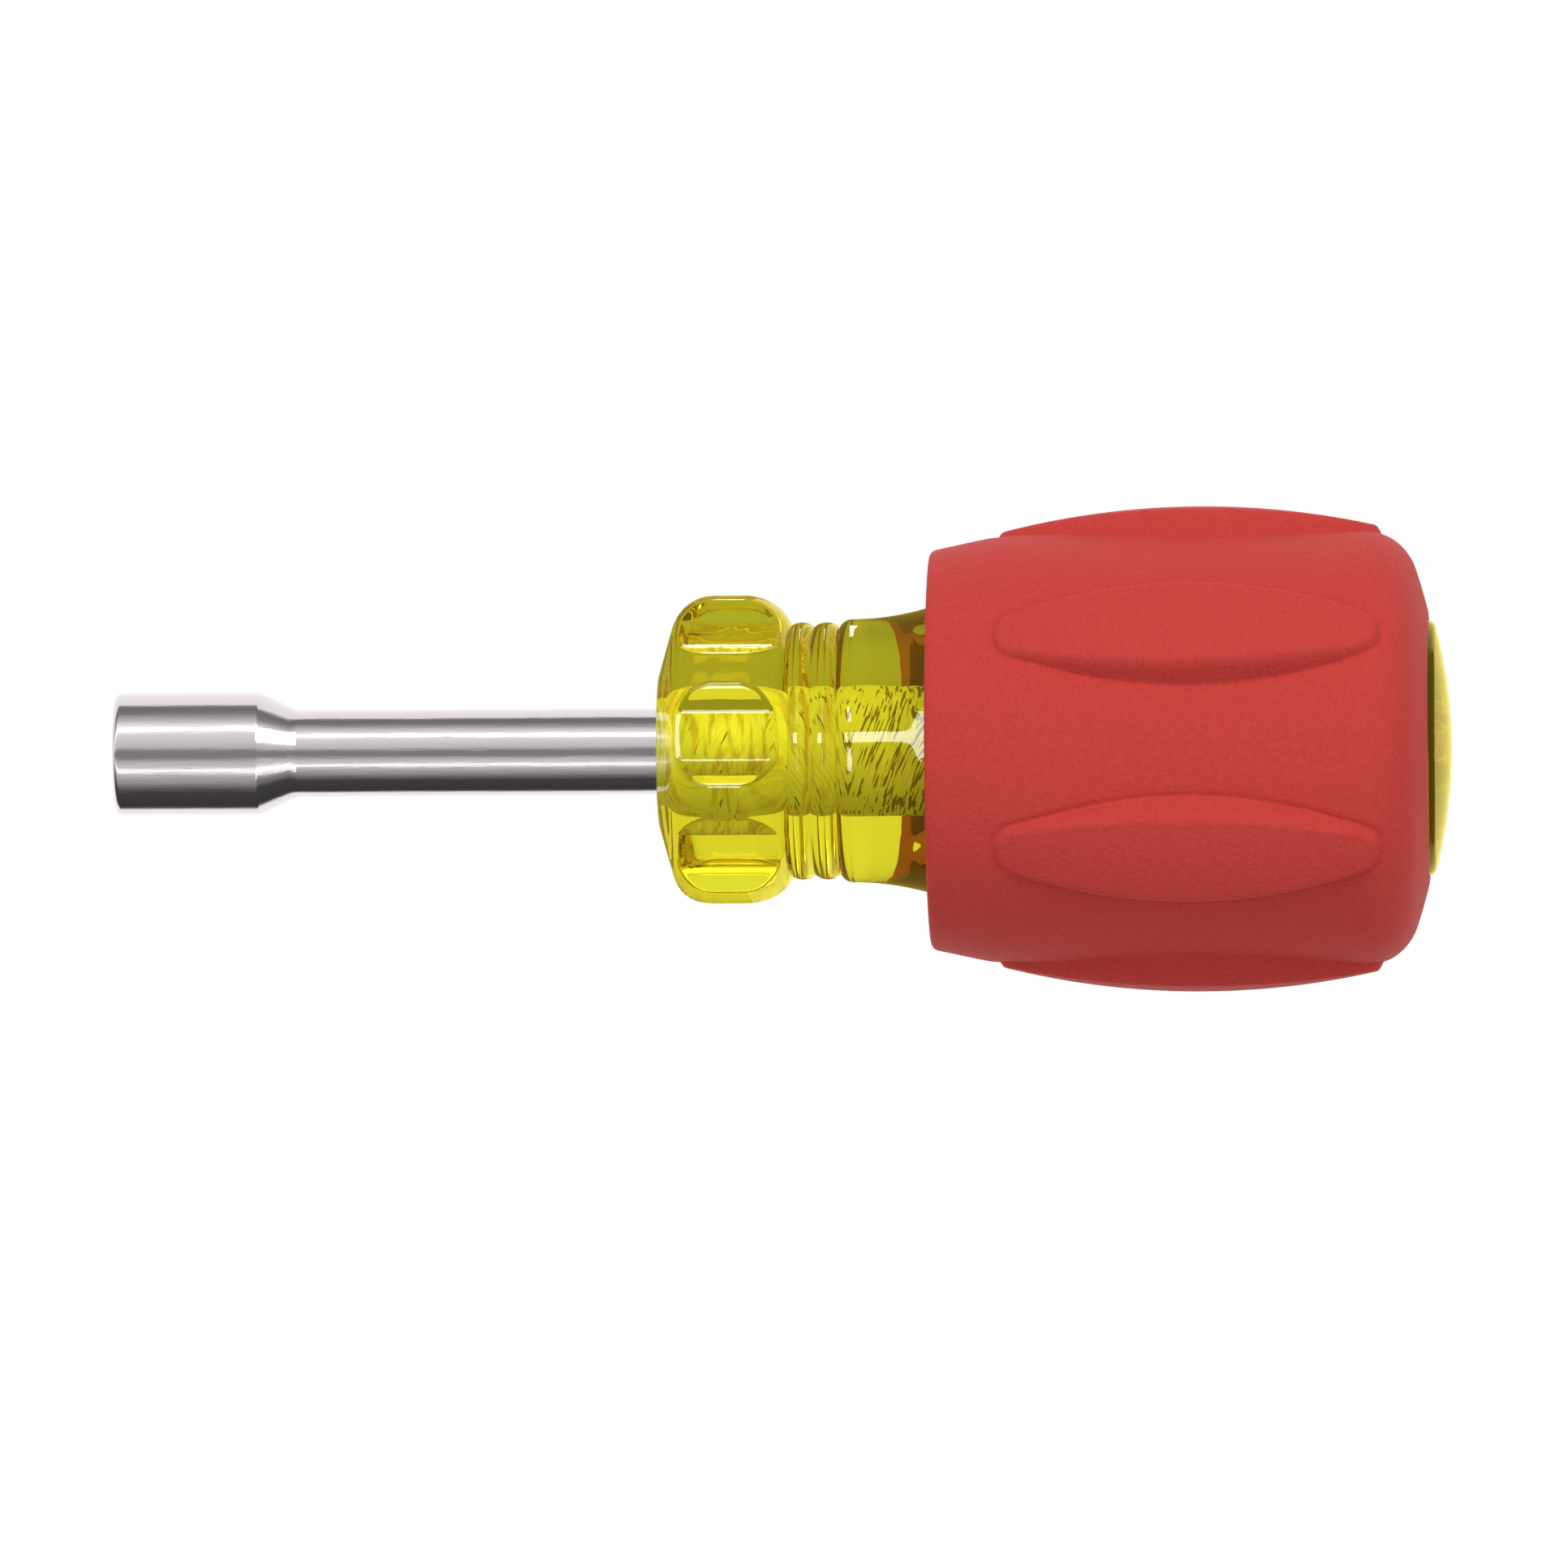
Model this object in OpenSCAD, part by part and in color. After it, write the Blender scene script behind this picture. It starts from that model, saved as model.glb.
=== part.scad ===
// Stubby nut driver: a one-piece chromed blade with a hexagon socket, held in a handle
// that is turned from fluted clear acetate bar and wears a soft sleeve with raised pads.
// Millimetres. The origin is the centre of the socket's mouth, +X runs along the blade
// to the butt, +Z is up, and angles are counted up from the side that faces -Y.

/* [Socket] */
// Width across the flats of the nut that it turns
nut_af = 6.35; // [5:0.05:9]
// Play across the flats between the nut and the socket
nut_play = 0.1; // [0.05:0.01:0.3]
// Depth of the hexagon
hex_depth = 8; // [5:0.1:9.5]
// Depth of the conical lead-in at the mouth
lead_depth = 0.8; // [0.2:0.05:2]
// Wall outside the hexagon's corners
socket_wall = 0.58; // [0.4:0.02:2]
// Length of the round socket
socket_length = 10.05; // [9:0.05:16]
// Rounding of the mouth's outer edge
mouth_round = 0.45; // [0.1:0.05:0.5]
// Length of the cone that leads back to the shank
cone_length = 2.65; // [1:0.05:8]

/* [Shank] */
// Diameter of the shank
shank_d = 6.1; // [5.6:0.05:8]
// Length of blade in front of the handle
blade_length = 38.1; // [30:0.1:150]
// Length of shank held inside the handle
tang_length = 38; // [26:0.5:46]
// Chamfer on the inner end of the shank
tang_chamfer = 0.6; // [0.2:0.1:1.2]
// Diameter of the hole behind the hexagon for a projecting bolt
bolt_hole_d = 4.4; // [2:0.1:4.8]
// Depth of that hole from the mouth
bolt_hole_depth = 22; // [12:0.5:36]
// Point angle of that hole's end
drill_angle = 118; // [90:1:140]
// Number of swaged wings that keep the shank from turning
wing_count = 2; // [2:1:4]
// Height of a wing above the shank
wing_height = 1; // [0.5:0.1:2]
// Thickness of a wing
wing_width = 1.8; // [1:0.1:3]
// Length of a wing
wing_length = 8; // [4:0.5:12]
// Length of the ramp at each end of a wing
wing_ramp = 1.5; // [0.5:0.1:1.9]
// Distance of the wings from the inner end of the shank
wing_setback = 6; // [2:0.5:12]
// Radial play of the shank and its wings in the handle
tang_play = 0.03; // [0.01:0.01:0.1]

/* [Handle core] */
// Diameter of the fluted bar
bar_d = 23; // [21:0.1:30]
// Length of the core from its front face to the top of the butt
core_length = 55.4; // [50:0.1:110]
// Width of the flat ring round the shank at the front
face_width = 2.25; // [1:0.05:4]
// Slope of the nose behind that ring, from the axis
nose_angle = 74; // [55:1:84]
// Rounding between the nose and the collar's crown
nose_round = 3; // [0.5:0.1:4]
// Depth turned off the bar at the collar's crown
collar_cut = 0.6; // [0.1:0.05:1.2]
// Length of the collar, front face to rear edge
collar_length = 9.4; // [8:0.1:16]
// Rounding of the collar's rear
collar_round = 3.6; // [1.5:0.1:4.2]
// Depth turned off the bar in the grooves
groove_cut = 2.9; // [2.6:0.05:3.6]
// Number of beads behind the collar
bead_count = 2; // [1:1:3]
// Depth turned off the bar at the beads' crests
bead_cut = 2.5; // [1.5:0.05:2.55]
// Rounding of a bead
bead_round = 1.24; // [1:0.02:2]
// Distance from the collar's rear edge to the first crest
bead_lead = 0.62; // [0.3:0.02:1]
// Distance between crests
bead_pitch = 1.73; // [1.4:0.01:2.2]
// Depth turned off the bar at the neck's front
neck_cut = 2.3; // [1.2:0.05:2.6]
// Rounding of the neck's front edge
lip_round = 0.9; // [0.3:0.05:1.2]
// Radius of the flare from the neck up to the bar
flare_round = 18.7; // [6:0.1:28]
// Rounding of the rear shoulder under the sleeve
shoulder_round = 3.4; // [2.6:0.1:4]
// Diameter of the butt
butt_d = 17.9; // [14:0.1:20]
// Radius of the dome on the butt
butt_dome = 34; // [18:0.5:80]
// Rounding of the butt's edge
butt_round = 0.7; // [0.2:0.05:1]
// Height of the butt behind the sleeve
butt_proud = 1.45; // [1.3:0.05:4]

/* [Flutes] */
// Number of flutes along the bar
flute_count = 7; // [5:1:8]
// Depth of a flute below the bar's surface
flute_depth = 1.76; // [0.8:0.02:2]
// Width of a flute's flat floor
flute_floor = 3.3; // [2:0.1:4.5]
// Slope of a flute's sides from its floor
flute_slope = 17; // [14:1:60]
// Angle of the first flute
flute_turn = 6.2; // [0:0.1:60]

/* [Grip sleeve] */
// Length of the sleeve
grip_length = 34.95; // [32:0.05:60]
// Play between the sleeve and the core
grip_play = 0.05; // [0.02:0.01:0.15]
// Wall of the sleeve over the bar
barrel_wall = 3.75; // [3:0.05:6]
// Depth of the taper at the sleeve's front
taper_drop = 1.33; // [0.4:0.01:1.8]
// Length of the taper
taper_length = 6.15; // [4:0.05:12]
// Lengthwise rounding behind the taper
taper_round = 5; // [2:0.5:7]
// Rounding of the front edge
front_round = 0.5; // [0.2:0.05:1.2]
// Radius of the sleeve's domed rear
rear_dome = 40; // [30:0.5:90]
// Rounding between the barrel and the rear
rear_round = 4; // [1:0.1:5]
// Thickness of the rear lip where the butt comes through
rear_lip = 1.2; // [0.6:0.05:2]

/* [Grip pads] */
// Number of raised pads
pad_count = 6; // [3:1:7]
// Angle of the first pad
pad_turn = 32.2; // [0:0.1:60]
// Height of a pad's crest over the barrel
pad_height = 1.72; // [0.8:0.01:2]
// Lengthwise radius of a pad's crown
pad_crown = 56; // [50:1:90]
// Distance of a pad's crest from the sleeve's front
crest_place = 18.9; // [14:0.1:22]
// Length of a pad
pad_length = 26.6; // [14:0.1:28]
// Width of a pad at its middle
pad_width = 7.9; // [6:0.1:12]
// Distance of a pad's middle from the sleeve's front
pad_place = 18.2; // [14:0.1:22]
// Radius of a pad's long sides
pad_side = 37; // [20:0.5:80]
// Radius of a pad's blunt ends
pad_end = 4.6; // [2.5:0.1:7]
// Slope of a pad's edge from upright
pad_flank = 18; // [10:1:45]

/* [Hidden] */
$fn = 96;

// Sides drawn on the long, slow arcs
long_arc_fn = 256;

// How far a cutter runs past the surface that it cuts
over = 1;

steel = [0.74, 0.73, 0.75];
acetate = [0.80, 0.80, 0.16, 0.8];
soft_red = [0.76, 0.26, 0.24];

// Socket and shank
hex_af = nut_af + nut_play;
hex_r = hex_af / 2 / cos(30);
socket_r = hex_r + socket_wall;
shank_r = shank_d / 2;
bolt_hole_r = bolt_hole_d / 2;
bolt_hole_point = bolt_hole_r / tan(drill_angle / 2);
shank_x = socket_length + cone_length;
collar_x = blade_length;
tang_x = collar_x + tang_length;
wing_x = tang_x - wing_setback - wing_length;

// Radii turned into the bar
bar_r = bar_d / 2;
face_r = shank_r + face_width;
collar_r = bar_r - collar_cut;
groove_r = bar_r - groove_cut;
bead_r = bar_r - bead_cut;
neck_r = bar_r - neck_cut;
butt_r = butt_d / 2;

// Stations along the core
nose_x = collar_x + (collar_r - face_r) / tan(nose_angle);
collar_drop = collar_r - groove_r;
crown_x = collar_x + collar_length - half_chord(collar_round, collar_drop);
bead_x = collar_x + collar_length + bead_lead;
neck_x = bead_x + (bead_count - 0.5) * bead_pitch;
flare_x = neck_x + lip_round;
butt_x = collar_x + core_length;
grip_rear = butt_x - butt_proud;
butt_root = grip_rear - rear_lip;
shoulder_x = butt_root - half_chord(shoulder_round, bar_r - butt_r);

// Stations along the sleeve
grip_front = grip_rear - grip_length;
taper_x = grip_front + taper_length;
barrel_r = bar_r + barrel_wall;
pad_r = barrel_r + pad_height;
pad_x = grip_front + pad_place;

// Centres of the sleeve's lengthwise arcs, as [radius, station]
crown_c = [pad_r - pad_crown, grip_front + crest_place];
rear_c = [0, grip_rear - sqrt(pow(rear_dome, 2) - pow(butt_r, 2))];
rear_edge_c = [
    barrel_r - rear_round,
    rear_c[1] + sqrt(pow(rear_dome - rear_round, 2) - pow(barrel_r - rear_round, 2))
];

// Half the chord of a circle at the given distance below its crest
function half_chord(radius, drop) = sqrt(pow(radius, 2) - pow(radius - drop, 2));

function unit(v) = v / norm(v);

// The place on a circle straight out from its centre through a point
function on_circle(centre, radius, through) = centre + radius * unit(through - centre);

// An outline whose outer corners are rounded by arcs; radius 0 leaves a corner sharp
module rounded_outline(points, radii) {
    count = len(points);
    function leg(i, step) = unit(points[(i + step + count) % count] - points[i]);
    function half_angle(i) = acos(leg(i, -1) * leg(i, 1)) / 2;
    function tangent(i, step) = points[i] + radii[i] / tan(half_angle(i)) * leg(i, step);
    polygon([
        for (i = [0 : count - 1])
            each radii[i] == 0 ? [points[i]] : [tangent(i, -1), tangent(i, 1)]
    ]);
    for (i = [0 : count - 1])
        if (radii[i] > 0)
            translate(points[i] + radii[i] / sin(half_angle(i)) * unit(leg(i, -1) + leg(i, 1)))
                circle(radii[i]);
}

// Turns an outline, drawn as [radius, station], round the blade's axis
module turned() {
    rotate([0, 90, 0])
        rotate_extrude()
            children();
}

// A straight bar along +X from one station to another, with its section drawn as [y, z]
module along(from_x, to_x) {
    translate([from_x, 0, 0])
        rotate([90, 0, 90])
            linear_extrude(to_x - from_x)
                children();
}

// A round hole or bar along +X
module round_along(from_x, to_x, from_r, to_r) {
    translate([from_x, 0, 0])
        rotate([0, 90, 0])
            cylinder(h = to_x - from_x, r1 = from_r, r2 = to_r);
}

// Copies of something built on top of the axis, spread round it
module spread(count, first_angle) {
    for (i = [0 : count - 1])
        rotate([90 - first_angle - i * 360 / count, 0, 0])
            children();
}

// The swaged wings, or with play the room that they take in the core
module wings(play) {
    top = shank_r + wing_height + play;
    spread(wing_count, 90)
        translate([0, wing_width / 2 + play, 0])
            rotate([90, 0, 0])
                linear_extrude(wing_width + 2 * play)
                    polygon([
                        [wing_x - play, 0],
                        [wing_x - play, shank_r],
                        [wing_x + wing_ramp - play, top],
                        [wing_x + wing_length - wing_ramp + play, top],
                        [wing_x + wing_length + play, shank_r],
                        [wing_x + wing_length + play, 0]
                    ]);
}

// The blade: socket, cone, shank and wings in one piece of steel
module driver_shaft() {
    color(steel)
        difference() {
            union() {
                turned()
                    rounded_outline(
                        [
                            [0, 0],
                            [socket_r, 0],
                            [socket_r, socket_length],
                            [shank_r, shank_x],
                            [shank_r, tang_x - tang_chamfer],
                            [shank_r - tang_chamfer, tang_x],
                            [0, tang_x]
                        ],
                        [0, mouth_round, 0, 0, 0, 0, 0]
                    );
                wings(0);
            }
            along(-over, hex_depth)
                circle(hex_r, $fn = 6);
            round_along(0, lead_depth, hex_r, hex_af / 2);
            round_along(hex_depth - over, bolt_hole_depth, bolt_hole_r, bolt_hole_r);
            round_along(bolt_hole_depth, bolt_hole_depth + bolt_hole_point, bolt_hole_r, 0);
        }
}

// The part of the core behind the neck's lip, which the sleeve wraps, with play all round
module sheathed_outline(play) {
    translate([0, flare_x])
        difference() {
            square([bar_r + play, shoulder_x - flare_x]);
            translate([neck_r + flare_round, 0])
                circle(flare_round - play, $fn = long_arc_fn);
        }
    translate([bar_r - shoulder_round, shoulder_x])
        circle(shoulder_round + play);
    translate([0, shoulder_x])
        square([bar_r - shoulder_round, shoulder_round]);
}

// The domed butt, with its edge rounded
module butt_outline() {
    dome_c = [0, butt_x - butt_dome];
    edge_r = butt_r - butt_round;
    edge_c = [edge_r, dome_c[1] + sqrt(pow(butt_dome - butt_round, 2) - pow(edge_r, 2))];
    edge_top = on_circle(dome_c, butt_dome, edge_c);
    intersection() {
        translate(dome_c)
            circle(butt_dome, $fn = long_arc_fn);
        polygon([
            [0, shoulder_x],
            [butt_r, shoulder_x],
            [butt_r, edge_c[1]],
            edge_top,
            [edge_top[0], butt_x + over],
            [0, butt_x + over]
        ]);
    }
    translate(edge_c)
        circle(butt_round);
}

// The collar with its sloped nose, the beads and the neck's lip
module turned_front_outline() {
    rounded_outline(
        [
            [0, collar_x],
            [face_r, collar_x],
            [collar_r, nose_x],
            [collar_r, crown_x],
            [0, crown_x]
        ],
        [0, 0, nose_round, 0, 0]
    );
    translate([collar_r - collar_round, crown_x])
        circle(collar_round);
    translate([0, crown_x])
        square([groove_r, flare_x - crown_x]);
    for (i = [0 : bead_count - 1])
        translate([bead_r - bead_round, bead_x + i * bead_pitch])
            circle(bead_round);
    rounded_outline(
        [[0, neck_x], [neck_r, neck_x], [neck_r, flare_x], [0, flare_x]],
        [0, lip_round, 0, 0]
    );
}

// The cutters for the flutes, moved out by the play where they shape the sleeve's inside
module flutes(play) {
    floor_r = bar_r - flute_depth + play;
    top_r = bar_r + over;
    top_width = flute_floor + 2 * (top_r - floor_r) / tan(flute_slope);
    spread(flute_count, flute_turn)
        along(collar_x - over, butt_x + over)
            polygon([
                [-flute_floor / 2, floor_r],
                [flute_floor / 2, floor_r],
                [top_width / 2, top_r],
                [-top_width / 2, top_r]
            ]);
}

// The handle: fluted bar with collar, beads, neck and butt turned into it
module handle_core() {
    color(acetate)
        difference() {
            turned() {
                turned_front_outline();
                sheathed_outline(0);
                butt_outline();
            }
            flutes(0);
            round_along(collar_x - over, tang_x + tang_play, shank_r + tang_play, shank_r + tang_play);
            wings(tang_play);
        }
}

// The sleeve's outside without its pads
module grip_outline() {
    rear_edge_in = on_circle(rear_c, rear_dome, rear_edge_c);
    rounded_outline(
        [
            [0, grip_front],
            [barrel_r - taper_drop, grip_front],
            [barrel_r, taper_x],
            [barrel_r, rear_edge_c[1]],
            [0, rear_edge_c[1]]
        ],
        [0, front_round, taper_round, 0, 0]
    );
    intersection() {
        translate(rear_c)
            circle(rear_dome, $fn = long_arc_fn);
        polygon([
            [0, pad_x],
            [barrel_r, pad_x],
            [barrel_r, rear_edge_c[1]],
            rear_edge_in,
            [rear_edge_in[0], butt_x],
            [0, butt_x]
        ]);
    }
    translate(rear_edge_c)
        circle(rear_round);
}

// A disc standing on its edge's slope: the given radius at the given height over the axis
module pad_disc(radius, height) {
    low = bar_r;
    high = pad_r + over;
    translate([0, 0, low])
        cylinder(
            h = high - low,
            r1 = radius + (height - low) * tan(pad_flank),
            r2 = radius - (high - height) * tan(pad_flank)
        );
}

// A raised pad on top of the sleeve: a long lens with blunt ends under a crowned face
module pad() {
    half_length = pad_length / 2;
    half_width = pad_width / 2;
    side_height = sqrt(pow(barrel_r, 2) - pow(half_width, 2));
    end_x = half_length - pad_end;
    intersection() {
        turned()
            intersection() {
                translate(crown_c)
                    circle(pad_crown, $fn = long_arc_fn);
                translate([0, pad_x - pad_length])
                    square([pad_r, 2 * pad_length]);
            }
        intersection_for (side = [-1, 1])
            translate([pad_x, side * (pad_side - half_width), 0])
                pad_disc(pad_side, side_height);
        union() {
            for (end = [-1, 1])
                translate([pad_x + end * end_x, 0, 0])
                    pad_disc(pad_end, barrel_r);
            translate([pad_x - end_x, -pad_width, bar_r])
                cube([2 * end_x, 2 * pad_width, pad_r]);
        }
    }
}

// The soft sleeve: barrel, pads, and an inside that follows the fluted core
module grip_sleeve() {
    front_bore_r = max(neck_r, bead_r) + grip_play;
    color(soft_red)
        difference() {
            union() {
                turned()
                    grip_outline();
                spread(pad_count, pad_turn)
                    pad();
            }
            difference() {
                turned() {
                    sheathed_outline(grip_play);
                    translate([0, bead_x])
                        square([front_bore_r, flare_x - bead_x]);
                }
                flutes(grip_play);
            }
            round_along(shoulder_x, butt_x + over, butt_r + grip_play, butt_r + grip_play);
        }
}

driver_shaft();
handle_core();
grip_sleeve();
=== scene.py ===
"""A stubby nut driver in a studio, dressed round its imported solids.

The chromed blade, the clear fluted core and the soft padded sleeve are each drawn as one sector of
their turned form. One Geometry Nodes tree repeats the sector round the blade's axis. Sizes are in
millimetres in the classes and in metres in the meshes. X runs from the socket to the butt, the
camera looks along +Y, and angles round the axis are counted up from the side that faces it.
"""

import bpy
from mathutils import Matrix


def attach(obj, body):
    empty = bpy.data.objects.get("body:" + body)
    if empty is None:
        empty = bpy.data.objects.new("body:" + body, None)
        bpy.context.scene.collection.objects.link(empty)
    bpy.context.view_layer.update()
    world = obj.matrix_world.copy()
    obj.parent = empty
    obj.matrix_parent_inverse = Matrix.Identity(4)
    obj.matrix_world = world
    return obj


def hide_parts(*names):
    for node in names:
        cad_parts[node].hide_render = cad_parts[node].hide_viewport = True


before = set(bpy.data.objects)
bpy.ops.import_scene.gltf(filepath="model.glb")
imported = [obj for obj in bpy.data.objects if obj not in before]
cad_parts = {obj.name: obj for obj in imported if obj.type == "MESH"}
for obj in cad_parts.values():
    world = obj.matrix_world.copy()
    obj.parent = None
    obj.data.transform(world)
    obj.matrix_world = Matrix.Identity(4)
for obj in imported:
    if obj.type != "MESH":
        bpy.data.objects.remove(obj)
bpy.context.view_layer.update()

import logging
import math
from dataclasses import dataclass
from enum import Enum
from typing import Any

import bmesh
import bpy
import numpy as np
from bmesh.types import BMesh, BMVert
from bpy.types import Material, Mesh, Node, NodeSocket, NodeTree, Object
from mathutils import Matrix, Vector

log = logging.getLogger("nut_driver")

MM = 0.001
BODY = "root"
PHOTO_PX = 1932
SENSOR = 36.0
ARC_POINTS = 121
SAME_PLACE = 1e-9
WELD = 2e-7

# A point of a lengthwise section: its station along the axis and its distance from it
Point = tuple[float, float]


class Slot(Enum):
    """The record's material slots, by name."""

    CHROME = "chrome_plate"
    ACETATE = "clear_acetate"
    GRIP = "soft_grip"


class Zone(Enum):
    """The parts of a turned piece that take a finish of their own."""

    OUTSIDE = 0
    LINING = 1


def linear(hex_code: str) -> tuple[float, float, float, float]:
    """Turns an sRGB hex colour into the linear colour that shaders take.

    Args:
        hex_code: six hexadecimal digits after a hash sign.

    Returns:
        Linear red, green, blue and an alpha of 1.
    """
    parts = [int(hex_code[i : i + 2], 16) / 255 for i in (1, 3, 5)]
    return (*(c / 12.92 if c <= 0.04045 else ((c + 0.055) / 1.055) ** 2.4 for c in parts), 1.0)


def grey(level: float) -> tuple[float, float, float, float]:
    """A light of the given strength and no colour."""
    return (level, level, level, 1.0)


def add_node(
    tree: NodeTree, kind: str, inputs: dict[str | int, Any] | None = None, **settings: Any
) -> Node:
    """Adds a node, sets its properties, and sets or links its inputs.

    Args:
        tree: the node tree that gets the node.
        kind: Blender's name for the node type.
        inputs: socket names or numbers, each with a value, or the output or node that feeds it.
        settings: the node's properties.

    Returns:
        The new node.
    """
    node = tree.nodes.new(kind)
    for name, value in settings.items():
        setattr(node, name, value)
    for key, value in (inputs or {}).items():
        if isinstance(value, Node):
            value = value.outputs[0]
        if isinstance(value, NodeSocket):
            tree.links.new(value, node.inputs[key])
        else:
            node.inputs[key].default_value = value
    return node


def eased(count: int) -> np.ndarray:
    """Shares from 0 to 1 that crowd towards both ends, where the creases are."""
    return (1 - np.cos(np.linspace(0, math.pi, count + 1))) / 2


def soft_min(a: np.ndarray, b: np.ndarray, blend: float) -> np.ndarray:
    """The lesser of two heights, with the edge between them rounded.

    Args:
        a: the first height.
        b: the second height.
        blend: how far apart the heights may be for the rounding to act.

    Returns:
        The rounded lesser height.
    """
    share = np.clip(0.5 + 0.5 * (b - a) / blend, 0, 1)
    return b + (a - b) * share - blend * share * (1 - share)


def soft_max(a: np.ndarray, b: np.ndarray, blend: float) -> np.ndarray:
    """The greater of two heights, with the hollow between them filled as soft_min rounds an edge."""
    return -soft_min(-a, -b, blend)


def arc(centre: Point, radius: float, start: float, end: float) -> np.ndarray:
    """Points along an arc of a lengthwise section.

    Args:
        centre: the arc's centre.
        radius: its radius.
        start: where the arc starts, in degrees up from +X.
        end: where it ends.

    Returns:
        Rows of station and distance from the axis.
    """
    turn = np.radians(np.linspace(start, end, ARC_POINTS))
    return np.stack([centre[0] + radius * np.cos(turn), centre[1] + radius * np.sin(turn)], axis=1)


def heading(centre: Point, point: Point) -> float:
    """The direction from a centre to a point of a section, in degrees up from +X."""
    return math.degrees(math.atan2(point[1] - centre[1], point[0] - centre[0]))


def crossing(a: Point, a_radius: float, b: Point, b_radius: float) -> Point:
    """The crossing of two circles that lies farther from the axis.

    Args:
        a: centre of the first circle.
        a_radius: its radius.
        b: centre of the second circle.
        b_radius: its radius.

    Returns:
        The crossing.
    """
    span = math.dist(a, b)
    way = ((b[0] - a[0]) / span, (b[1] - a[1]) / span)
    ahead = (span**2 + a_radius**2 - b_radius**2) / (2 * span)
    aside = math.sqrt(a_radius**2 - ahead**2)
    foot = (a[0] + ahead * way[0], a[1] + ahead * way[1])
    places = [(foot[0] - k * aside * way[1], foot[1] + k * aside * way[0]) for k in (1, -1)]
    return max(places, key=lambda place: place[1])


class Track:
    """A lengthwise section that is read by the distance travelled along it."""

    def __init__(self, *pieces: Any) -> None:
        """Joins the pieces end to end, with a mark at the end of each.

        Args:
            pieces: runs of points, each with rows of station and distance from the axis.
        """
        self.marks: list[float] = [0.0]
        runs, travelled = [], 0.0
        for piece in pieces:
            run = np.asarray(piece, float).reshape(-1, 2)
            if runs:
                run = np.vstack([runs[-1][-1:], run])
            runs.append(run)
            travelled += np.linalg.norm(np.diff(run, axis=0), axis=1).sum()
            self.marks.append(travelled)
        points = np.concatenate(runs)
        steps = np.linalg.norm(np.diff(points, axis=0), axis=1)
        keep = np.append(True, steps > SAME_PLACE)
        self.station, self.radius = points[keep].T
        self.travel = np.append(0.0, np.cumsum(steps))[keep]

    def at(self, travel: np.ndarray) -> tuple[np.ndarray, np.ndarray]:
        """Stations and distances from the axis at the given distances along the section."""
        return tuple(np.interp(travel, self.travel, values) for values in (self.station, self.radius))

    def beside(self, station: np.ndarray) -> np.ndarray:
        """Distances along the section at the given stations, where it runs on along the axis."""
        return np.interp(station, self.station, self.travel)

    def where(self, radius: np.ndarray, first: int, last: int) -> np.ndarray:
        """Distances along the section at which it reaches a radius.

        Args:
            radius: distances from the axis.
            first: the mark from which the section rises or falls steadily.
            last: the mark up to which it does.

        Returns:
            Distances along the section.
        """
        after = self.travel >= self.marks[first] - SAME_PLACE
        part = after & (self.travel <= self.marks[last] + SAME_PLACE)
        radii, travel = self.radius[part], self.travel[part]
        order = np.argsort(radii, kind="stable")
        return np.interp(radius, radii[order], travel[order])


def rows_between(breaks: np.ndarray, counts: list[int]) -> np.ndarray:
    """Fills the spans between break lines with rows that crowd towards the breaks.

    Args:
        breaks: one row for each break line and one column for each column of the sector.
        counts: how many steps each span gets.

    Returns:
        One row for each row of the sector.
    """
    spans = [
        breaks[i] + (breaks[i + 1] - breaks[i]) * eased(count)[1:, None]
        for i, count in enumerate(counts)
    ]
    return np.vstack([breaks[:1], *spans])


def sector_mesh(
    name: str, station: np.ndarray, radius: np.ndarray, angle: np.ndarray, lining_rows: int = 0
) -> Mesh:
    """Draws one sector of a turned piece as a grid of faces that point outwards.

    Args:
        name: the mesh's name.
        station: places along the axis in mm, a row for each row of the sector.
        radius: distances from the axis in mm.
        angle: angles round the axis in radians.
        lining_rows: how many rows of faces, from the first, line a hole.

    Returns:
        The mesh, in metres.
    """
    station, radius, angle = np.broadcast_arrays(station, radius, angle)
    places = np.stack([station, -radius * np.cos(angle), radius * np.sin(angle)], axis=-1) * MM
    rows, columns = station.shape
    index = np.arange(rows * columns).reshape(rows, columns)
    corners = [index[:-1, :-1], index[1:, :-1], index[1:, 1:], index[:-1, 1:]]
    faces = np.stack(corners, axis=-1).reshape(-1, 4)
    mesh = bpy.data.meshes.new(name)
    mesh.from_pydata(places.reshape(-1, 3).tolist(), [], faces.tolist())
    zone = np.full(rows - 1, Zone.OUTSIDE.value)
    zone[:lining_rows] = Zone.LINING.value
    zones = mesh.attributes.new(SectorRing.ZONE, "INT", "FACE")
    zones.data.foreach_set("value", np.repeat(zone, columns - 1))
    return mesh


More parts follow.
